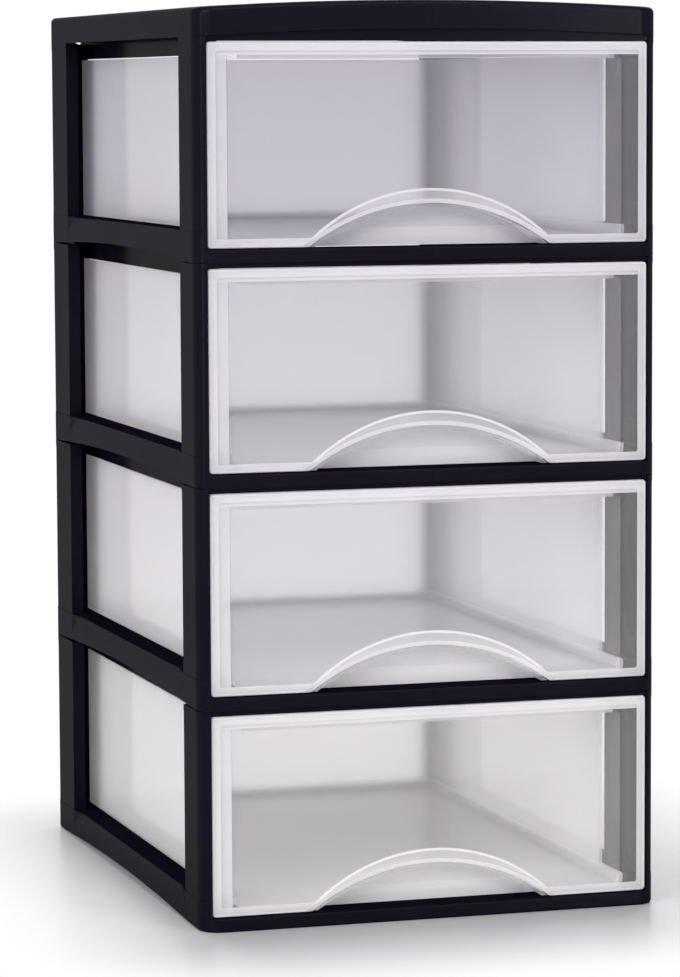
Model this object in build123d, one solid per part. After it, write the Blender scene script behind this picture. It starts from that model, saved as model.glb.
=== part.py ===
"""A four-drawer tower for A4 paper: open black frames stacked under a crowned cover,
with a clear-frosted drawer sliding in every tier.

Millimetres. X runs left to right, Y front to back, Z up. The origin is at the middle of
the footprint, on the surface that the tower stands on. The drawers open towards -Y.
"""
import os

from build123d import *

# ---- Whole tower ----
WIDTH = 260.0                 # outside, left to right
DEPTH = 345.0                 # outside, front to back
CORNER_RADIUS = 12.0          # upright corners, seen from above
TIER_COUNT = 4
TIER_PITCH = 119.2            # from one seam to the next
FIT_CLEARANCE = 0.3           # between pieces that plug together

# ---- Ring: the open tray-shaped frame at the bottom of every tier ----
RING_HEIGHT = 17.0            # side and rear rails, from the seam to the sill
RING_WALL = 2.5               # wall of the moulding
RING_SKIRT = 3.4              # outer wall of the side rails, where the flare is scooped out
SIDE_RAIL_WIDTH = 16.0        # seen from above
REAR_RAIL_WIDTH = 7.0
FRONT_RAIL_WIDTH = 22.0
FRONT_RAIL_HEIGHT = 7.5
RING_EDGE_RADIUS = 0.8        # rounding along the seams, the flares and the front rail
SILL_CHAMFER = 0.8            # along the rear rail's outer top edge, between the rear legs
FOOT_RADIUS = 1.8             # rounding of the lowest ring's bottom edge
NOTCH_CLEARANCE = 0.8         # behind a closed drawer's front plate
ARCH_INSET = 10.0             # from the front and the back to the arched side skirt
ARCH_RISE = 4.2
FLARE_DEPTH = 1.6             # how far the side skirt's scoop goes in
FLARE_FOOT = 3.4              # the scoop starts this far above the seam
FLARE_RUN = 12.0              # length over which each end of the scoop fades out
STRIP_DROP = 2.4              # the recessed strip below each front seam
STRIP_SETBACK = 2.2
STRIP_THICKNESS = 2.4

MOULD_LINE_WIDTH = 0.5        # a fine groove down the middle of the front rails and the cover
MOULD_LINE_DEPTH = 0.15

# ---- Side frames: two legs joined by a web over the drawer's side ----
POST_FACE = 6.0               # a leg's width, seen from the front
FRONT_POST_LENGTH = 37.0      # a front leg's width, seen from the side
REAR_POST_LENGTH = 48.0       # a rear leg's width, seen from the side
REAR_LEG_WIDTH = 24.0         # a rear leg's width, seen from the back
POST_WALL = 4.0
POST_INSET = 0.15             # legs stand this much inside the rings and the collars
COLLAR_HEIGHT = 3.8           # full-size collar at a leg's top
FLANGE_THICKNESS = 2.5
FLANGE_REACH = 17.4           # the front leg's inner flange, from the outer face inwards
JAMB_REACH = 7.3              # the rear leg's edge at the window, from the outer face inwards
WEB_THICKNESS = 2.1
WEB_CLEARANCE = 0.5           # between the drawer's rim and the web over it
WEB_RISE = 6.5                # how far the web reaches up beside the runner above
PEG_THICKNESS = 2.5
PEG_LENGTH = 12.0             # along the side
PEG_DEPTH = 8.0               # below the sill
PEG_INSET = 18.0              # from the front and the back to the pegs
TENON_HEIGHT = 4.0            # above a leg's top, inside the piece that stands on it
TENON_ROOT = 8.0              # how far a tenon reaches down behind the leg's wall

# ---- Runners ----
RUNNER_WIDTH = 12.0
RUNNER_THICKNESS = 3.0
RUNNER_TOP = 10.1             # above the seam
RUNNER_INSET = 17.5           # from the front
RUNNER_CLEARANCE = 0.2        # under the drawer

# ---- Cover ----
COVER_HEIGHT = 15.4           # at the corners
COVER_CROWN = 4.0             # how much higher the middle of the cover is
COVER_WALL = 2.5
COVER_EDGE_RADIUS = 3.0
COVER_RIB = 2.0               # the wall inside the cover that the legs' tenons pass

# ---- Drawer ----
DRAWER_GAP = 0.4              # beside the front plate
PLATE_FLOOR_GAP = 0.5         # between the front rail and the front plate
PLATE_TOP_GAP = 0.3           # between the front plate and the strip above it
PLATE_SETBACK = 3.0           # behind the face of the frame
PLATE_THICKNESS = 2.6
PLATE_CORNER_RADIUS = 2.0
PLATE_EDGE_RADIUS = 0.6
BORDER_WIDTH = 4.8
BORDER_RAISE = 0.9
BORDER_CORNER_RADIUS = 1.2
PULL_RISE = 20.4              # the finger pull's cut-out, above the plate's bottom edge
PULL_RADIUS = 111.0
PULL_CORNER_RADIUS = 22.0     # where the cut-out meets the bottom edge
LIP_RISE = 30.6               # the raised lip round the pull, above the plate's bottom edge
LIP_RADIUS = 99.0
LIP_BEVEL_WIDTH = 5.0
LIP_BEVEL_DEPTH = 1.3
POCKET_DEPTH = 14.0           # from the plate's face to the wall behind the pull
DRAWER_WALL = 1.8
DRAWER_SIDE_CLEARANCE = 1.0   # between a drawer's side and the front leg's flange
DRAWER_REAR_GAP = 0.8         # between a closed drawer and the rear rail
DRAWER_WALL_TOP = 109.5       # above the seam
DRAWER_REAR_RADIUS = 5.0
DRAWER_BOTTOM_RADIUS = 4.0
RIM_WIDTH = 3.0
RIM_HEIGHT = 2.0

# ---- Worked out from the values above ----
FRONT = -DEPTH / 2
BACK = DEPTH / 2
SIDE = WIDTH / 2
RAIL_INNER_X = SIDE - SIDE_RAIL_WIDTH
RAIL_REAR_Y = BACK - REAR_RAIL_WIDTH
PEG_OUTER = RING_SKIRT + FIT_CLEARANCE
PEG_INNER = PEG_OUTER + PEG_THICKNESS
PLATE_HALF = SIDE - POST_FACE - DRAWER_GAP
PLATE_BOTTOM = FRONT_RAIL_HEIGHT + PLATE_FLOOR_GAP
PLATE_TOP = TIER_PITCH - STRIP_DROP - PLATE_TOP_GAP
PLATE_FACE_Y = FRONT + PLATE_SETBACK
PLATE_BACK_Y = PLATE_FACE_Y + PLATE_THICKNESS
DRAWER_HALF = SIDE - FLANGE_REACH - DRAWER_SIDE_CLEARANCE
DRAWER_REAR_Y = RAIL_REAR_Y - DRAWER_REAR_GAP
DRAWER_BOTTOM = RUNNER_TOP + RUNNER_CLEARANCE
WEB_BOTTOM = DRAWER_WALL_TOP + WEB_CLEARANCE
COVER_RIB_INSET = PEG_INNER + FIT_CLEARANCE
WEB_REAR_Y = min(RAIL_REAR_Y, BACK - COVER_RIB_INSET - COVER_RIB) - FIT_CLEARANCE
PULL_CENTRE_Z = PLATE_BOTTOM + PULL_RISE - PULL_RADIUS
LIP_CENTRE_Z = PLATE_BOTTOM + LIP_RISE - LIP_RADIUS
COVER_SEAM = TIER_COUNT * TIER_PITCH
MERGE = 0.4                   # how deep fused parts of one moulding run into each other
PAST = 5.0                    # how far a cut runs past the face that it opens


def block(x_span, y_span, z_span):
    """A box between two places on each axis."""
    centre = [(low + high) / 2 for low, high in (x_span, y_span, z_span)]
    size = [high - low for low, high in (x_span, y_span, z_span)]
    return Pos(*centre) * Box(*size)


def both_sides(inner, outer, y_span, z_span):
    """The same box at the left and at the right, between two distances from the middle."""
    right = block((inner, outer), y_span, z_span)
    return right + mirror(right, Plane.YZ)


def footprint(inset=0.0):
    """The tower's outline seen from above, drawn in by inset."""
    return RectangleRounded(WIDTH - 2 * inset, DEPTH - 2 * inset, CORNER_RADIUS - inset)


def upright(sketch, bottom, top):
    """A sketch of the plan, raised between two heights."""
    return extrude(Pos(0, 0, bottom) * sketch, top - bottom)


def facing(sketch, near, far):
    """A sketch of the front elevation, given thickness between two places along Y."""
    return extrude(Plane((0, far, 0), x_dir=(1, 0, 0), z_dir=(0, -1, 0)) * sketch, far - near)


def side_on(sketch, near, far):
    """A sketch of the side elevation, given thickness between two places along X."""
    return extrude(Plane((near, 0, 0), x_dir=(0, 1, 0), z_dir=(1, 0, 0)) * sketch, far - near)


# ---- Rings ----

def ring_channels():
    """The hollow under the rails, open downwards."""
    notch_back = PLATE_BACK_Y + NOTCH_CLEARANCE
    sill = RING_HEIGHT - RING_WALL
    channel_x = (RAIL_INNER_X + RING_WALL, SIDE - RING_SKIRT)
    side = both_sides(*channel_x, (notch_back + RING_WALL, BACK - RING_WALL), (-PAST, sill))
    across = SIDE - RING_SKIRT
    rear = block((-across, across), (RAIL_REAR_Y + RING_WALL, BACK - RING_WALL), (-PAST, sill))
    front_y = (FRONT + RING_WALL, FRONT + FRONT_RAIL_WIDTH - RING_WALL)
    front = block((-across, across), front_y, (-PAST, FRONT_RAIL_HEIGHT - RING_WALL))
    return (side + rear + front) & upright(footprint(RING_WALL), -PAST, RING_HEIGHT)


def front_notch():
    """The room above the front rail, with a chamfer along the rail's top edge."""
    bevel = RING_EDGE_RADIUS
    top = RING_HEIGHT + PAST
    back = PLATE_BACK_Y + NOTCH_CLEARANCE
    outline = make_face(Polyline(
        (FRONT - PAST, FRONT_RAIL_HEIGHT - bevel - PAST),
        (FRONT + bevel, FRONT_RAIL_HEIGHT),
        (back, FRONT_RAIL_HEIGHT),
        (back, top),
        (FRONT - PAST, top),
        close=True,
    ))
    opening = SIDE - POST_FACE
    behind_y = (back - MERGE, FRONT + FRONT_RAIL_WIDTH + MERGE)
    behind = block((-RAIL_INNER_X, RAIL_INNER_X), behind_y, (FRONT_RAIL_HEIGHT, top))
    return side_on(outline, -opening, opening) + behind


def skirt_arches():
    """The shallow arch cut into the bottom edge of both side rails."""
    near = FRONT + ARCH_INSET
    far = BACK - ARCH_INSET
    arc = ThreePointArc((near, 0), (0, ARCH_RISE), (far, 0))
    below = Polyline((far, 0), (far, -PAST), (near, -PAST), (near, 0))
    outline = make_face(arc + below)
    right = side_on(outline, RAIL_INNER_X - PAST, SIDE + PAST)
    return right + mirror(right, Plane.YZ)


def flare_scoops():
    """The concave scoop in the outer face of both side rails, faded out at its ends."""
    height = RING_HEIGHT - RING_EDGE_RADIUS - FLARE_FOOT
    radius = (height ** 2 + FLARE_DEPTH ** 2) / (2 * FLARE_DEPTH)
    top_x = SIDE - FLARE_DEPTH
    knee = RING_HEIGHT - RING_EDGE_RADIUS
    curve = RadiusArc((SIDE, FLARE_FOOT), (top_x, knee), -radius)
    rest = Polyline(
        (top_x, knee),
        (top_x - RING_EDGE_RADIUS - PAST, RING_HEIGHT + PAST),
        (SIDE + PAST, RING_HEIGHT + PAST),
        (SIDE + PAST, FLARE_FOOT),
        (SIDE, FLARE_FOOT),
    )
    section = make_face(curve + rest)
    near = FRONT + FRONT_POST_LENGTH
    far = BACK - REAR_POST_LENGTH
    scoop = facing(section, near, far)
    plan = make_face(Polyline(
        (SIDE, near),
        (top_x, near + FLARE_RUN),
        (top_x - FLARE_DEPTH, near + FLARE_RUN),
        (top_x - FLARE_DEPTH, far - FLARE_RUN),
        (top_x, far - FLARE_RUN),
        (SIDE, far),
        close=True,
    ))
    right = scoop & upright(plan, -PAST, RING_HEIGHT + 2 * PAST)
    return right + mirror(right, Plane.YZ)


def rear_bevel():
    """The chamfer along the rear rail's outer top edge, between the rear legs."""
    half = SIDE - REAR_LEG_WIDTH
    outline = make_face(Polyline(
        (BACK - SILL_CHAMFER, RING_HEIGHT),
        (BACK, RING_HEIGHT - SILL_CHAMFER),
        (BACK + PAST, RING_HEIGHT - SILL_CHAMFER),
        (BACK + PAST, RING_HEIGHT + PAST),
        (BACK - SILL_CHAMFER, RING_HEIGHT + PAST),
        close=True,
    ))
    return side_on(outline, -half, half)


def mould_line(bottom, top):
    """The fine upright groove in the middle of a front face."""
    half = MOULD_LINE_WIDTH / 2
    return block((-half, half), (FRONT - PAST, FRONT + MOULD_LINE_DEPTH), (bottom, top))


def peg_places():
    """Where the pegs stand along the side, front one first."""
    return (
        (FRONT + PEG_INSET, FRONT + PEG_INSET + PEG_LENGTH),
        (BACK - PEG_INSET - PEG_LENGTH, BACK - PEG_INSET),
    )


def peg_sockets():
    """Slots through the sill for the side frames' pegs."""
    z_span = (RING_HEIGHT - RING_WALL - MERGE, RING_HEIGHT + PAST)
    sockets = []
    for near, far in peg_places():
        y_span = (near - FIT_CLEARANCE, far + FIT_CLEARANCE)
        inner = SIDE - PEG_INNER - FIT_CLEARANCE
        sockets.append(both_sides(inner, SIDE - RING_SKIRT, y_span, z_span))
    return sockets[0] + sockets[1]


def runners():
    """The two ledges that a drawer slides on."""
    y_span = (FRONT + RUNNER_INSET, RAIL_REAR_Y + MERGE)
    inner = RAIL_INNER_X - RUNNER_WIDTH
    z_span = (RUNNER_TOP - RUNNER_THICKNESS, RUNNER_TOP)
    return both_sides(inner, RAIL_INNER_X + MERGE, y_span, z_span)


def front_strip(rise):
    """The recessed strip that closes the gap over the drawer below."""
    y_span = (FRONT + STRIP_SETBACK, FRONT + STRIP_SETBACK + STRIP_THICKNESS)
    return block((-PLATE_HALF, PLATE_HALF), y_span, (-STRIP_DROP, rise))


def ring(bottom_radius, with_strip):
    """One ring, standing on z = 0."""
    body = upright(footprint(), 0, RING_HEIGHT)
    body = fillet(body.faces().sort_by(Axis.Z)[0].edges(), bottom_radius)
    inside_y = (FRONT + FRONT_RAIL_WIDTH, RAIL_REAR_Y)
    body -= block((-RAIL_INNER_X, RAIL_INNER_X), inside_y, (-PAST, RING_HEIGHT + PAST))
    body -= front_notch()
    body -= ring_channels()
    body -= skirt_arches()
    body -= flare_scoops()
    body -= rear_bevel()
    body -= peg_sockets()
    body -= mould_line(-PAST, RING_HEIGHT)
    body += runners()
    if with_strip:
        body += front_strip(FRONT_RAIL_HEIGHT - RING_WALL + MERGE)
    return body


# ---- Side frames ----

def leg_zones():
    """The plan of a left frame's two legs, as areas to keep of the tower's outline."""
    front_y = FRONT + FRONT_POST_LENGTH / 2
    rear_y = BACK - REAR_POST_LENGTH / 2
    front = Pos(-SIDE + POST_FACE / 2, front_y) * Rectangle(POST_FACE, FRONT_POST_LENGTH)
    rear = Pos(-SIDE + REAR_LEG_WIDTH / 2, rear_y) * Rectangle(REAR_LEG_WIDTH, REAR_POST_LENGTH)
    return front, rear


def tenons():
    """The plates on the legs that plug into the piece above."""
    x_span = (-SIDE + PEG_OUTER, -SIDE + PEG_INNER)
    z_span = (TIER_PITCH - TENON_ROOT, TIER_PITCH + TENON_HEIGHT)
    front_y = (FRONT + PEG_INSET, FRONT + FRONT_POST_LENGTH)
    rear_y = (BACK - REAR_POST_LENGTH, BACK - PEG_INSET)
    return block(x_span, front_y, z_span) + block(x_span, rear_y, z_span)


def web():
    """The plate over the drawer's side, which joins the legs and keeps the drawer from tipping."""
    x_span = (-DRAWER_HALF, -DRAWER_HALF + WEB_THICKNESS)
    near = FRONT + FRONT_POST_LENGTH - FLANGE_THICKNESS
    lower = block(x_span, (near, BACK - POST_WALL + MERGE), (WEB_BOTTOM, TIER_PITCH))
    upper = block(x_span, (near, WEB_REAR_Y), (WEB_BOTTOM, TIER_PITCH + WEB_RISE))
    return lower + upper


def left_side_frame():
    """Two legs, the web that joins them, the tenons above and the pegs below."""
    collar_bottom = TIER_PITCH - COLLAR_HEIGHT
    legs = footprint(POST_INSET) - footprint(POST_WALL)
    collars = footprint() - footprint(POST_WALL)
    wall_x = -SIDE + POST_WALL - MERGE
    flange_y = (FRONT + FRONT_POST_LENGTH - FLANGE_THICKNESS, FRONT + FRONT_POST_LENGTH)
    jamb_y = (BACK - REAR_POST_LENGTH, BACK - REAR_POST_LENGTH + FLANGE_THICKNESS)
    web_inner = -DRAWER_HALF + WEB_THICKNESS

    body = web() + tenons()
    for zone in leg_zones():
        body += upright(legs & zone, RING_HEIGHT, collar_bottom)
        body += upright(collars & zone, collar_bottom, TIER_PITCH)
    body += block((wall_x, -SIDE + FLANGE_REACH), flange_y, (RING_HEIGHT, TIER_PITCH))
    body += block((wall_x, web_inner), flange_y, (WEB_BOTTOM, TIER_PITCH))
    body += block((wall_x, -SIDE + JAMB_REACH), jamb_y, (RING_HEIGHT, TIER_PITCH))
    peg_x = (-SIDE + PEG_OUTER, -SIDE + PEG_INNER)
    for place in peg_places():
        body += block(peg_x, place, (RING_HEIGHT - PEG_DEPTH, RING_HEIGHT + PEG_LENGTH))
    return body


# ---- Cover ----

def crowned(bottom, top):
    """A front elevation, wider than the cover, whose edges rise towards the middle.

    The heights are those above the cover's sides.
    """
    radius = (SIDE ** 2 + COVER_CROWN ** 2) / (2 * COVER_CROWN)
    half = SIDE + PAST
    rise = COVER_CROWN - radius + (radius ** 2 - half ** 2) ** 0.5
    lower = ThreePointArc((-half, bottom + rise), (0, bottom + COVER_CROWN), (half, bottom + rise))
    upper = ThreePointArc((half, top + rise), (0, top + COVER_CROWN), (-half, top + rise))
    right = Line((half, bottom + rise), (half, top + rise))
    left = Line((-half, top + rise), (-half, bottom + rise))
    return make_face(lower + right + upper + left)


def top_cover():
    """The crowned cover, standing on z = 0: a shell with a locating wall inside."""
    ceiling = COVER_HEIGHT + COVER_CROWN + PAST
    outside = facing(crowned(0, COVER_HEIGHT), FRONT - PAST, BACK + PAST)
    body = outside & upright(footprint(), -PAST, ceiling)
    top_face = body.faces().filter_by(GeomType.CYLINDER).sort_by(Axis.Z)[-1]
    body = fillet(top_face.edges(), COVER_EDGE_RADIUS)
    hollow = facing(crowned(-PAST - COVER_CROWN, COVER_HEIGHT - COVER_WALL), FRONT, BACK)
    body -= hollow & upright(footprint(COVER_WALL), -2 * PAST, ceiling)
    rib_plan = footprint(COVER_RIB_INSET) - footprint(COVER_RIB_INSET + COVER_RIB)
    rib_top = COVER_HEIGHT - COVER_WALL + MERGE
    rib = facing(crowned(0, rib_top), FRONT, BACK)
    body += rib & upright(rib_plan, -PAST, ceiling)
    body += front_strip(COVER_HEIGHT / 2)
    return body - mould_line(0, COVER_HEIGHT)


# ---- Drawers ----

def disc(radius, centre_z):
    """A round area of the front elevation."""
    return Pos(0, centre_z) * Circle(radius)


def plate_outline():
    """The front plate's outline, with the finger pull cut out of its bottom edge."""
    height = PLATE_TOP - PLATE_BOTTOM
    centre_z = (PLATE_TOP + PLATE_BOTTOM) / 2
    plate = Pos(0, centre_z) * RectangleRounded(2 * PLATE_HALF, height, PLATE_CORNER_RADIUS)
    plate -= disc(PULL_RADIUS, PULL_CENTRE_Z)
    reach = (PULL_RADIUS ** 2 - (PULL_RADIUS - PULL_RISE) ** 2) ** 0.5
    ends = [vertex for vertex in plate.vertices() if abs(abs(vertex.X) - reach) < MERGE]
    return fillet(ends, PULL_CORNER_RADIUS)


def plate_field():
    """The sunk area of the front plate, inside its raised border and lip."""
    width = 2 * (PLATE_HALF - BORDER_WIDTH)
    height = PLATE_TOP - PLATE_BOTTOM - 2 * BORDER_WIDTH
    centre_z = (PLATE_TOP + PLATE_BOTTOM) / 2
    field = Pos(0, centre_z) * RectangleRounded(width, height, BORDER_CORNER_RADIUS)
    return field - disc(LIP_RADIUS, LIP_CENTRE_Z)


def lip_bevel():
    """The cone that bevels the lower half of the raised lip."""
    cone = Cone(PULL_RADIUS, PULL_RADIUS + LIP_BEVEL_WIDTH, LIP_BEVEL_DEPTH)
    place = Plane(
        (0, PLATE_FACE_Y + LIP_BEVEL_DEPTH / 2, PULL_CENTRE_Z),
        x_dir=(1, 0, 0),
        z_dir=(0, -1, 0),
    )
    return place * cone


def front_plate():
    """The drawer's front: border, sunk field, raised lip and cut-out."""
    plate = facing(plate_outline(), PLATE_FACE_Y, PLATE_BACK_Y)
    face = plate.faces().sort_by(Axis.Y)[0]
    plate = fillet(face.edges(), PLATE_EDGE_RADIUS)
    plate -= facing(plate_field(), PLATE_FACE_Y - PAST, PLATE_FACE_Y + BORDER_RAISE)
    return plate - lip_bevel()


def drawer_plan(inset, near):
    """The drawer box seen from above, drawn in by inset: square in front, rounded at the back."""
    half = DRAWER_HALF - inset
    far = DRAWER_REAR_Y - inset
    outline = Pos(0, (near + far) / 2) * Rectangle(2 * half, far - near)
    rear = outline.vertices().sort_by(Axis.Y)[-2:]
    return fillet(rear, DRAWER_REAR_RADIUS - inset)


def drawer_shape(inset, near, bottom, top):
    """The drawer box as a solid, with its side and rear bottom edges rounded."""
    body = upright(drawer_plan(inset, near), bottom, top)
    bottom_edges = body.faces().sort_by(Axis.Z)[0].edges()
    rounded = [edge for edge in bottom_edges if edge.center().Y > near + MERGE]
    return fillet(rounded, DRAWER_BOTTOM_RADIUS - inset)


def finger_pocket():
    """The roof and the wall behind the finger pull, down to the plate's bottom edge."""
    far = PLATE_FACE_Y + POCKET_DEPTH + DRAWER_WALL
    above_rail = Pos(0, PLATE_BOTTOM + PULL_RADIUS) * Rectangle(4 * PULL_RADIUS, 2 * PULL_RADIUS)
    section = disc(PULL_RADIUS + DRAWER_WALL, PULL_CENTRE_Z) & above_rail
    return facing(section, PLATE_BACK_Y - MERGE, far)


def pocket_room():
    """The room for the fingers, under the pull's arc and in front of the pocket's wall."""
    far = PLATE_FACE_Y + POCKET_DEPTH
    return facing(disc(PULL_RADIUS, PULL_CENTRE_Z), PLATE_BACK_Y - MERGE, far)


def drawer():
    """One drawer, moulded in one piece."""
    box_front = PLATE_BACK_Y - MERGE
    body = drawer_shape(0, box_front, DRAWER_BOTTOM, DRAWER_WALL_TOP)
    floor_top = DRAWER_BOTTOM + DRAWER_WALL
    body -= drawer_shape(DRAWER_WALL, PLATE_BACK_Y, floor_top, DRAWER_WALL_TOP + PAST)
    rim = drawer_plan(0, box_front)
    rim -= drawer_plan(RIM_WIDTH, PLATE_BACK_Y + RIM_WIDTH - DRAWER_WALL)
    body += upright(rim, DRAWER_WALL_TOP - RIM_HEIGHT, DRAWER_WALL_TOP)
    body += finger_pocket()
    body += front_plate()
    return body - pocket_room()


# ---- Write every piece ----

def save(shape, name):
    """Write one piece as its own file."""
    solids = shape.solids()
    piece = solids[0] if len(solids) == 1 else Compound(children=list(solids))
    piece.label = name
    export_step(piece, os.path.join("parts", name + ".step"))


def main():
    os.makedirs("parts", exist_ok=True)
    base = ring(FOOT_RADIUS, with_strip=False)
    divider = ring(RING_EDGE_RADIUS, with_strip=True)
    left = left_side_frame()
    right = mirror(left, Plane.YZ)
    box = drawer()
    for tier in range(1, TIER_COUNT + 1):
        level = Pos(0, 0, (tier - 1) * TIER_PITCH)
        if tier == 1:
            save(level * base, "base_frame")
        else:
            save(level * divider, f"divider_frame_{tier}")
        save(level * left, f"left_side_frame_{tier}")
        save(level * right, f"right_side_frame_{tier}")
        save(level * box, f"drawer_{tier}")
    save(Pos(0, 0, COVER_SEAM) * top_cover(), "top_cover")


main()
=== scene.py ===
"""Looks for the four-drawer tower: materials, lights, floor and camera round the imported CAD."""
import math

import bpy
from mathutils import Matrix, Vector


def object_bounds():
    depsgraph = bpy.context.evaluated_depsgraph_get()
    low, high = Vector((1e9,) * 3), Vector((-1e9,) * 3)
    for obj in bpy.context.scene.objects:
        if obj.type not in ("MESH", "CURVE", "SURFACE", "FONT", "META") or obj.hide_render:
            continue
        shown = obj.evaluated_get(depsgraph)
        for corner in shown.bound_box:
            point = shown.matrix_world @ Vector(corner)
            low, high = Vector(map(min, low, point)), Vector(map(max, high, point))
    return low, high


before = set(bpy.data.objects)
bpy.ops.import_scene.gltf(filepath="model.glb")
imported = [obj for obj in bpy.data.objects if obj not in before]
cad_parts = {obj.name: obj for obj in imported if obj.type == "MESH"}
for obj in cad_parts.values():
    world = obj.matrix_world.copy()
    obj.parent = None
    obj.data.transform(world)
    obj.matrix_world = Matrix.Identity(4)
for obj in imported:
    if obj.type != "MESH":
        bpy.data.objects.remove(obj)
cad_low, cad_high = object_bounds()

# ---- Places on the tower that the materials follow, in metres ----
TIER_PITCH = 0.1192
TOWER_HEIGHT = cad_high[2] - cad_low[2]
RAISED_FACE_Y = cad_low[1] + 0.0037     # border and lip of a drawer's front lie before this
PLATE_BACK_Y = cad_low[1] + 0.0060
WALL_FRONT_Y = cad_low[1] + 0.0378      # a drawer's wall is clearer up to here
WALL_X = 0.1060                         # a drawer's side walls lie beyond this
LEFT_STRIP_X = -0.1125                  # the plate is milkier beyond the left wall: painted light, lighter on the left side only
FOOT_Z = 0.0176                         # a drawer's floor and its walls' feet lie below this
TOP_BAND_Z = 0.1095                     # a drawer's front is thicker above this
COVER_SEAM = 4 * TIER_PITCH

# On a drawer's front, seen from the front, above the tier's seam:
EDGE_X = 0.1223                         # the plate's painted highlight along its outermost edge starts here
EDGE_TOP_Z = 0.1152
EDGE_BOTTOM_Z = 0.0094
PULL_CENTRE_Z = -0.0826
PULL_RADIUS = 0.1110
LIP_CENTRE_Z = -0.0604
LIP_RADIUS = 0.0990
# width of the painted highlight lines on the lip
HIGHLIGHT_LINE = 0.0007
BEVEL_WIDTH = 0.0046


# ---- Small helpers for node trees ----

NOISE_LOW = 0.3                         # most of a noise lies between these
NOISE_HIGH = 0.7


def material(name):
    """An empty node material with its output."""
    made = bpy.data.materials.new(name)
    made.use_nodes = True
    made.node_tree.nodes.clear()
    out = made.node_tree.nodes.new("ShaderNodeOutputMaterial")
    return made, made.node_tree, out


def node(tree, kind, inputs=None, **props):
    """One node, with its properties and the values of its sockets."""
    made = tree.nodes.new(kind)
    for key, value in props.items():
        setattr(made, key, value)
    for key, value in (inputs or {}).items():
        made.inputs[key].default_value = value
    return made


def join(tree, source, output, target, socket):
    """A link from a node's output to another node's socket."""
    tree.links.new(source.outputs[output], target.inputs[socket])


def feed(tree, pair, target, socket):
    """A link from a (node, output) pair to a node's socket."""
    join(tree, pair[0], pair[1], target, socket)


def maths(tree, operation, first, second=0.0):
    """A math node; each argument is a number or a (node, output) pair."""
    made = tree.nodes.new("ShaderNodeMath")
    made.operation = operation
    for place, value in enumerate((first, second)):
        if isinstance(value, tuple):
            feed(tree, value, made, place)
        else:
            made.inputs[place].default_value = value
    return made, "Value"


def noise_map(tree, low, high):
    """A map from the middle range of a noise to the given values."""
    return node(tree, "ShaderNodeMapRange", {
        "From Min": NOISE_LOW, "From Max": NOISE_HIGH, "To Min": low, "To Max": high,
    })


def ramp(tree, stops):
    """A colour ramp with the given (position, colour) stops."""
    made = tree.nodes.new("ShaderNodeValToRGB")
    elements = made.color_ramp.elements
    while len(elements) < len(stops):
        elements.new(0.5)
    for element, (position, colour) in zip(elements, stops):
        element.position = position
        element.color = (*colour, 1)
    return made


# ---- Black frame plastic under a weak glossy coat, dull on the sills under the drawers ----

COAT = 0.09
COAT_ROUGHNESS = 0.15
BLACK_IOR = 1.46
BLACK_ROUGHNESS = (0.12, 0.18)
BLACK_TINTS = (
    (0.30, (0.0038, 0.0033, 0.0070)),
    (0.75, (0.0060, 0.0052, 0.0105)),
)
UPWARD = 0.9                            # a face whose normal's height is over this looks up
SOFT_EDGE = 0.0006                      # radius of the moulded edges, in metres


def black_plastic():
    made, tree, out = material("black_plastic")
    coords = node(tree, "ShaderNodeTexCoord")
    place = node(tree, "ShaderNodeSeparateXYZ")
    surface = node(tree, "ShaderNodeNewGeometry")
    way = node(tree, "ShaderNodeSeparateXYZ")
    shader = node(tree, "ShaderNodeBsdfPrincipled", {
        "IOR": BLACK_IOR,
        "Specular IOR Level": 0.0,
        "Coat IOR": BLACK_IOR,
        "Coat Roughness": COAT_ROUGHNESS,
    })
    cloud = node(tree, "ShaderNodeTexNoise", {"Scale": 14.0, "Detail": 3.0, "Roughness": 0.55})
    fine = node(tree, "ShaderNodeTexNoise", {"Scale": 900.0, "Detail": 2.0, "Roughness": 0.5})
    gloss = noise_map(tree, *BLACK_ROUGHNESS)
    tint = ramp(tree, BLACK_TINTS)
    soft_edge = node(tree, "ShaderNodeBevel", {"Radius": SOFT_EDGE}, samples=4)
    wave = node(tree, "ShaderNodeBump", {"Strength": 0.05, "Distance": 0.002})
    grain = node(tree, "ShaderNodeBump", {"Strength": 0.03, "Distance": 0.0002})
    join(tree, coords, "Object", place, "Vector")
    join(tree, surface, "Normal", way, "Vector")
    upward = maths(tree, "GREATER_THAN", (way, "Z"), UPWARD)
    under_cover = maths(tree, "LESS_THAN", (place, "Z"), COVER_SEAM)
    sill = maths(tree, "MULTIPLY", upward, under_cover)
    coat = maths(tree, "SUBTRACT", COAT, maths(tree, "MULTIPLY", sill, COAT))
    feed(tree, coat, shader, "Coat Weight")
    join(tree, coords, "Object", cloud, "Vector")
    join(tree, coords, "Object", fine, "Vector")
    join(tree, cloud, "Fac", gloss, "Value")
    join(tree, cloud, "Fac", tint, "Fac")
    join(tree, cloud, "Fac", wave, "Height")
    join(tree, fine, "Fac", grain, "Height")
    join(tree, soft_edge, "Normal", wave, "Normal")
    join(tree, wave, "Normal", grain, "Normal")
    join(tree, gloss, "Result", shader, "Roughness")
    join(tree, tint, "Color", shader, "Base Color")
    join(tree, grain, "Normal", shader, "Normal")
    join(tree, grain, "Normal", shader, "Coat Normal")
    join(tree, shader, "BSDF", out, "Surface")
    return made


# ---- Clear drawer plastic, milky where it is thick; painted highlights on its edges and lip, painted light at the left, painted shade towards the top ----
# How much one surface hides of what lies behind it.

PLATE_HAZE = 0.13
WALL_HAZE = 0.70
WALL_FRONT_HAZE = 0.10
# painted light on the plate's strip beyond the left wall
LEFT_STRIP_PAINTED_LIGHT_HAZE = 0.60
FOOT_HAZE = 0.88
BORDER_HAZE = 0.80
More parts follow.
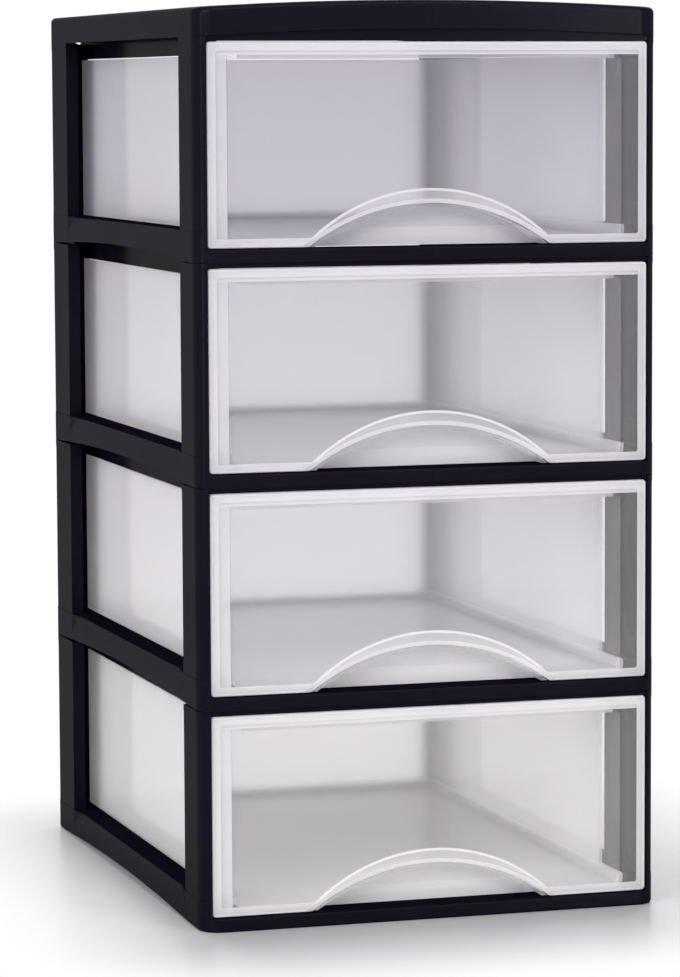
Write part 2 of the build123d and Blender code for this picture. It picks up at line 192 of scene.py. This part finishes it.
# painted highlight along the outermost edge of a front
EDGE_HIGHLIGHT_HAZE = 0.98
LIP_HAZE = 0.44
# painted highlights on the lip's upper edge and its bevel
LIP_HIGHLIGHT_HAZE = 0.86
TOP_BAND_HAZE = 0.72
CLOUDING = 0.012                        # the noise adds or takes this much

CLEAR_IOR = 1.5
CLEAR_ROUGHNESS = (0.07, 0.13)
GLOW_SHARE = 0.45                       # of the milk's light, the part that comes from behind

# Colours by height over the tower, of what is seen through the plastic and of its milk: painted
# shade, darker and bluer towards the top under the black cover, lighter near the floor
SHADE_TINTS_BY_HEIGHT = (
    (0.10, (0.985, 0.982, 0.985)),
    (0.60, (0.955, 0.950, 0.960)),
    (0.95, (0.900, 0.893, 0.918)),
)
MILK_SHADE_TINTS_BY_HEIGHT = (
    (0.10, (0.985, 0.980, 0.985)),
    (0.30, (0.950, 0.944, 0.954)),
    (0.60, (0.905, 0.896, 0.915)),
    (0.95, (0.870, 0.858, 0.898)),
)


def edge_highlight_mask(tree, place, level):
    """The outermost edge of a drawer's front, where a highlight is painted."""
    side = maths(tree, "ABSOLUTE", (place, "X"))
    sides = maths(tree, "GREATER_THAN", side, EDGE_X)
    top = maths(tree, "GREATER_THAN", level, EDGE_TOP_Z)
    bottom = maths(tree, "LESS_THAN", level, EDGE_BOTTOM_Z)
    return maths(tree, "MAXIMUM", sides, maths(tree, "MAXIMUM", top, bottom))


def lip_masks(tree, place, level):
    """The lip over the finger pull, and its painted highlights: a line on its upper edge, and its
    bevel.
    """
    across = maths(tree, "MULTIPLY", (place, "X"), (place, "X"))

    def radius_from(centre_z):
        rise = maths(tree, "SUBTRACT", level, centre_z)
        square = maths(tree, "ADD", across, maths(tree, "MULTIPLY", rise, rise))
        return maths(tree, "SQRT", square)

    bevel = maths(tree, "LESS_THAN", radius_from(PULL_CENTRE_Z), PULL_RADIUS + BEVEL_WIDTH)
    from_lip = radius_from(LIP_CENTRE_Z)
    inside = maths(tree, "LESS_THAN", from_lip, LIP_RADIUS)
    off_line = maths(tree, "ABSOLUTE", maths(tree, "SUBTRACT", from_lip, LIP_RADIUS - HIGHLIGHT_LINE))
    lip_edge_highlight = maths(tree, "LESS_THAN", off_line, HIGHLIGHT_LINE)
    return inside, maths(tree, "MAXIMUM", bevel, lip_edge_highlight)


def front_haze(tree, place, level):
    """What a drawer's front hides, beyond PLATE_HAZE, with painted highlights on its outermost edge
    and lip.
    """
    raised = maths(tree, "LESS_THAN", (place, "Y"), RAISED_FACE_Y)
    before = maths(tree, "SUBTRACT", 1.0, maths(tree, "GREATER_THAN", (place, "Y"), PLATE_BACK_Y))
    inside_lip, lines = lip_masks(tree, place, level)
    lip = maths(tree, "MULTIPLY", raised, inside_lip)
    border_part = maths(tree, "MULTIPLY", raised, BORDER_HAZE - PLATE_HAZE)
    lip_part = maths(tree, "MULTIPLY", lip, LIP_HAZE - BORDER_HAZE)
    raised_part = maths(tree, "ADD", border_part, lip_part)
    band = maths(tree, "MULTIPLY", before, maths(tree, "GREATER_THAN", level, TOP_BAND_Z))
    band_part = maths(tree, "MULTIPLY", band, TOP_BAND_HAZE - PLATE_HAZE)
    # painted light: beyond the left wall only, the plate is milkier and so lighter
    left_light = maths(tree, "MULTIPLY", before, maths(tree, "LESS_THAN", (place, "X"), LEFT_STRIP_X))
    left_light_part = maths(tree, "MULTIPLY", left_light, LEFT_STRIP_PAINTED_LIGHT_HAZE - PLATE_HAZE)
    flat_part = maths(tree, "MAXIMUM", raised_part, maths(tree, "MAXIMUM", band_part, left_light_part))
    # painted highlights on the front's outermost edge and on the lip
    edge = maths(tree, "MULTIPLY", raised, edge_highlight_mask(tree, place, level))
    edge_highlight_part = maths(tree, "MULTIPLY", edge, EDGE_HIGHLIGHT_HAZE - BORDER_HAZE)
    lip_highlight = maths(tree, "MULTIPLY", raised, lines)
    lip_highlight_part = maths(tree, "MULTIPLY", lip_highlight, LIP_HIGHLIGHT_HAZE - LIP_HAZE)
    return maths(tree, "ADD", flat_part, maths(tree, "MAXIMUM", edge_highlight_part, lip_highlight_part))


def box_haze(tree, place, level):
    """What a drawer's floor and walls hide, beyond PLATE_HAZE."""
    behind = maths(tree, "GREATER_THAN", (place, "Y"), PLATE_BACK_Y)
    low_part = maths(tree, "LESS_THAN", level, FOOT_Z)
    high_part = maths(tree, "SUBTRACT", 1.0, low_part)
    foot = maths(tree, "MULTIPLY", behind, low_part)
    near_front = maths(tree, "MULTIPLY", behind, maths(tree, "LESS_THAN", (place, "Y"), WALL_FRONT_Y))
    in_wall = maths(tree, "GREATER_THAN", maths(tree, "ABSOLUTE", (place, "X")), WALL_X)
    wall_front = maths(tree, "MULTIPLY", near_front, maths(tree, "MULTIPLY", high_part, in_wall))
    frosted = maths(tree, "MULTIPLY", behind, WALL_HAZE - PLATE_HAZE)
    foot_part = maths(tree, "MULTIPLY", foot, FOOT_HAZE - WALL_HAZE)
    clear_part = maths(tree, "MULTIPLY", wall_front, WALL_FRONT_HAZE - WALL_HAZE)
    return maths(tree, "ADD", frosted, maths(tree, "ADD", foot_part, clear_part))


def clear_plastic():
    made, tree, out = material("clear_plastic")
    coords = node(tree, "ShaderNodeTexCoord")
    place = node(tree, "ShaderNodeSeparateXYZ")
    join(tree, coords, "Object", place, "Vector")

    cloud = node(tree, "ShaderNodeTexNoise", {"Scale": 9.0, "Detail": 3.0, "Roughness": 0.5})
    haze = noise_map(tree, -CLOUDING, CLOUDING)
    gloss = noise_map(tree, *CLEAR_ROUGHNESS)
    wave = node(tree, "ShaderNodeBump", {"Strength": 0.02, "Distance": 0.002})
    join(tree, coords, "Object", cloud, "Vector")
    join(tree, cloud, "Fac", haze, "Value")
    join(tree, cloud, "Fac", gloss, "Value")
    join(tree, cloud, "Fac", wave, "Height")

    level = maths(tree, "MODULO", (place, "Z"), TIER_PITCH)
    front_part = front_haze(tree, place, level)
    box_part = box_haze(tree, place, level)
    plain = maths(tree, "ADD", (haze, "Result"), PLATE_HAZE)
    opacity = maths(tree, "ADD", plain, maths(tree, "ADD", front_part, box_part))

    # painted shade: by height, the plastic and its milk grow darker and bluer towards the cover
    height = maths(tree, "DIVIDE", (place, "Z"), TOWER_HEIGHT)
    tint = ramp(tree, SHADE_TINTS_BY_HEIGHT)
    milk_shade_by_height = ramp(tree, MILK_SHADE_TINTS_BY_HEIGHT)
    feed(tree, height, tint, "Fac")
    feed(tree, height, milk_shade_by_height, "Fac")

    through = node(tree, "ShaderNodeBsdfTransparent")
    milk = node(tree, "ShaderNodeBsdfPrincipled", {"IOR": CLEAR_IOR})
    glow = node(tree, "ShaderNodeBsdfTranslucent")
    body = node(tree, "ShaderNodeMixShader", {"Fac": GLOW_SHARE})
    whole = node(tree, "ShaderNodeMixShader")
    join(tree, tint, "Color", through, "Color")
    join(tree, milk_shade_by_height, "Color", milk, "Base Color")
    join(tree, milk_shade_by_height, "Color", glow, "Color")
    join(tree, gloss, "Result", milk, "Roughness")
    join(tree, wave, "Normal", milk, "Normal")
    join(tree, milk, "BSDF", body, 1)
    join(tree, glow, "BSDF", body, 2)
    feed(tree, opacity, whole, "Fac")
    join(tree, through, "BSDF", whole, 1)
    join(tree, body, "Shader", whole, 2)
    join(tree, whole, "Shader", out, "Surface")
    return made


black = black_plastic()
clear = clear_plastic()
for name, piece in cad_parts.items():
    chosen = clear if name.startswith("drawer_") else black
    if not piece.material_slots:
        piece.data.materials.append(chosen)
    for slot in piece.material_slots:
        slot.material = chosen


# ---- Floor, sky and lamps ----

FLOOR_SIZE = 14.0
FLOOR_SEEN = (0.51, 0.51, 0.515, 1)
FLOOR_BOUNCE = (0.80, 0.80, 0.80, 1)
SHADOW_SHIFT = (0.03, -0.02)            # the shadow is wider at the right and in front
SHADOW_REACH = 0.14                     # the floor is plain white from here on, off the tower
WHITE = (1, 1, 1, 1)
ROOM_COLOUR = (0.80, 0.80, 1.0, 1)
ROOM_STRENGTH = 0.10


def background_rays(tree, seen):
    """1 for rays that see the white background: from the camera, mirrored or let through."""
    straight = maths(tree, "MAXIMUM", (seen, "Is Camera Ray"), (seen, "Is Transmission Ray"))
    return maths(tree, "MAXIMUM", straight, (seen, "Is Glossy Ray"))


def floor_material():
    """A white floor that keeps a soft shadow near the tower."""
    made, tree, out = material("floor")
    coords = node(tree, "ShaderNodeTexCoord")
    place = node(tree, "ShaderNodeSeparateXYZ")
    join(tree, coords, "Object", place, "Vector")
    squares = []
    for axis, shift, half in zip("XY", SHADOW_SHIFT, cad_high):
        off_middle = maths(tree, "ABSOLUTE", maths(tree, "SUBTRACT", (place, axis), shift))
        outside = maths(tree, "MAXIMUM", maths(tree, "SUBTRACT", off_middle, half), 0.0)
        squares.append(maths(tree, "MULTIPLY", outside, outside))
    distance = maths(tree, "SQRT", maths(tree, "ADD", squares[0], squares[1]))
    far = node(tree, "ShaderNodeMapRange", {
        "From Min": 0.0, "From Max": SHADOW_REACH, "To Min": 0.0, "To Max": 1.0,
    }, interpolation_type="SMOOTHSTEP")
    seen = node(tree, "ShaderNodeLightPath")
    direct = background_rays(tree, seen)
    share = maths(tree, "MULTIPLY", direct, (far, "Result"))
    shade = node(tree, "ShaderNodeBsdfPrincipled", {"Roughness": 0.3, "Specular IOR Level": 0.3})
    colour = node(tree, "ShaderNodeMix", data_type="RGBA")
    colour.inputs["A"].default_value = FLOOR_BOUNCE
    colour.inputs["B"].default_value = FLOOR_SEEN
    plain = node(tree, "ShaderNodeEmission", {"Color": WHITE, "Strength": 1.0})
    whole = node(tree, "ShaderNodeMixShader")
    feed(tree, distance, far, "Value")
    feed(tree, direct, colour, "Factor")
    join(tree, colour, "Result", shade, "Base Color")
    feed(tree, share, whole, "Fac")
    join(tree, shade, "BSDF", whole, 1)
    join(tree, plain, "Emission", whole, 2)
    join(tree, whole, "Shader", out, "Surface")
    return made


bpy.ops.mesh.primitive_plane_add(size=FLOOR_SIZE, location=(0, 0, 0))
floor = bpy.context.object
floor.name = "floor"
floor.data.materials.append(floor_material())

world = bpy.data.worlds.new("studio")
bpy.context.scene.world = world
world.use_nodes = True
sky = world.node_tree
sky.nodes.clear()
sky_out = node(sky, "ShaderNodeOutputWorld")
sky_seen = node(sky, "ShaderNodeLightPath")
sky_direct = background_rays(sky, sky_seen)
dim = node(sky, "ShaderNodeBackground", {"Color": ROOM_COLOUR, "Strength": ROOM_STRENGTH})
white = node(sky, "ShaderNodeBackground", {"Color": WHITE, "Strength": 1.0})
pick = node(sky, "ShaderNodeMixShader")
feed(sky, sky_direct, pick, 0)
join(sky, dim, "Background", pick, 1)
join(sky, white, "Background", pick, 2)
join(sky, pick, "Shader", sky_out, "Surface")


LAMP_TARGET = (0, 0, 0.25)


def lamp(name, place, width, height, brightness):
    """A soft rectangular lamp that looks at the tower; brightness 1 is a white wall's."""
    data = bpy.data.lights.new(name, "AREA")
    data.shape = "RECTANGLE"
    data.size = width
    data.size_y = height
    data.energy = brightness * math.pi * width * height
    made = bpy.data.objects.new(name, data)
    bpy.context.scene.collection.objects.link(made)
    made.location = place
    way = Vector(LAMP_TARGET) - Vector(place)
    made.rotation_euler = way.to_track_quat("-Z", "Y").to_euler()


lamp("overhead", (0.0, 0.0, 2.3), 2.2, 2.2, 0.7)
lamp("front_top", (0.2, -1.8, 2.0), 2.0, 1.4, 3.2)
lamp("front_left", (-2.2, -1.9, 1.5), 1.8, 1.8, 6.9)
lamp("front_right", (1.30, -2.46, 0.86), 0.7, 0.7, 10.0)
lamp("left_strip", (-2.2, -0.75, 0.55), 0.25, 1.0, 4.0)
lamp("behind", (0.5, 1.7, 1.9), 2.4, 1.2, 6.8)


# ---- Camera, solved from the seams and corners in the photograph ----

EYE = (-0.6816, -2.2235, 0.4476)
YAW = 0.29767
PITCH = 0.09793
ROLL = -0.0046256
FOCAL = 4038.7                          # in pixels of a frame this high
FRAME_HEIGHT = 977
SENSOR = 36.0
FARTHEST = 50

forward = Vector((
    math.sin(YAW) * math.cos(PITCH),
    math.cos(YAW) * math.cos(PITCH),
    -math.sin(PITCH),
))
level_right = Vector((math.cos(YAW), -math.sin(YAW), 0))
above = level_right.cross(forward)
right = level_right * math.cos(ROLL) + above * math.sin(ROLL)
up = above * math.cos(ROLL) - level_right * math.sin(ROLL)
camera_data = bpy.data.cameras.new("camera")
camera_data.sensor_width = SENSOR
camera_data.sensor_height = SENSOR
camera_data.sensor_fit = "AUTO"
camera_data.lens = FOCAL * SENSOR / FRAME_HEIGHT
camera_data.clip_end = FARTHEST
camera = bpy.data.objects.new("camera", camera_data)
bpy.context.scene.collection.objects.link(camera)
turn = Matrix((right, up, -forward)).transposed()
camera.matrix_world = Matrix.Translation(EYE) @ turn.to_4x4()
bpy.context.scene.camera = camera

bpy.context.scene.view_settings.view_transform = "Standard"
